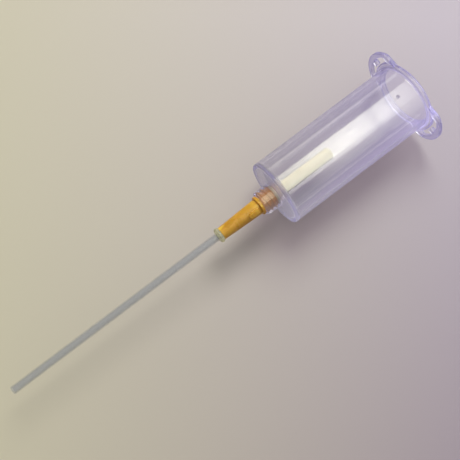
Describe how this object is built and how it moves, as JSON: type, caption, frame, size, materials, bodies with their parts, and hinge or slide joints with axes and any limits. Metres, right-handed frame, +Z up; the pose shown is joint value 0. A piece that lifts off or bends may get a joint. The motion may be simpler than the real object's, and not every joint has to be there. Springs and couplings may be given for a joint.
{
  "type": "vacuum tube holder with intake straw",
  "caption": "Clear vacuum-tube holder with looped finger ears, an amber screw-in adapter, a sleeved rear needle and a long clear intake straw.",
  "frame": {"origin": "centre of the holder's mouth, in the plane of the flange's outer face", "axes": "+X along the device's axis, out of the holder's mouth; +Y towards one finger ear; +Z up, so that the ears lie level"},
  "size_m": [0.1388, 0.031, 0.0218],
  "materials": {
    "clear_holder": "clear, faint violet",
    "amber_hub": "satin, slightly translucent",
    "clear_straw": "clear",
    "pale_collar": "translucent",
    "cannula_steel": "bright drawn",
    "sleeve_rubber": "matte",
    "adhesive": "clear, glossy"
  },
  "bodies": {
    "holder": {"tube_holder": "clear_holder"},
    "collar_carriage": {"straw_collar": "pale_collar"},
    "adapter": {"adapter_hub": "amber_hub", "rear_cannula": "cannula_steel", "cannula_bond": "adhesive", "intake_straw": "clear_straw"},
    "sleeve": {"needle_sleeve": "sleeve_rubber"}
  },
  "joints": [
    {"name": "adapter_travel", "type": "slide", "parent": "holder", "child": "collar_carriage", "axis": [-1, 0, 0], "range_m": [0, 0.00435]},
    {"name": "adapter_turn", "type": "hinge", "parent": "collar_carriage", "child": "adapter", "pos_m": [-0.052, 0, 0], "axis": [-1, 0, 0], "range_deg": [0, 1044]},
    {"name": "sleeve_compress", "type": "slide", "parent": "adapter", "child": "sleeve", "axis": [-1, 0, 0], "range_m": [0, 0.012], "stiffness_N_per_m": 40, "deforming": ["needle_sleeve"]}
  ],
  "couplings": [
    {"joint": "adapter_turn", "follows": "adapter_travel", "rad_per_m": 4188.8}
  ]
}
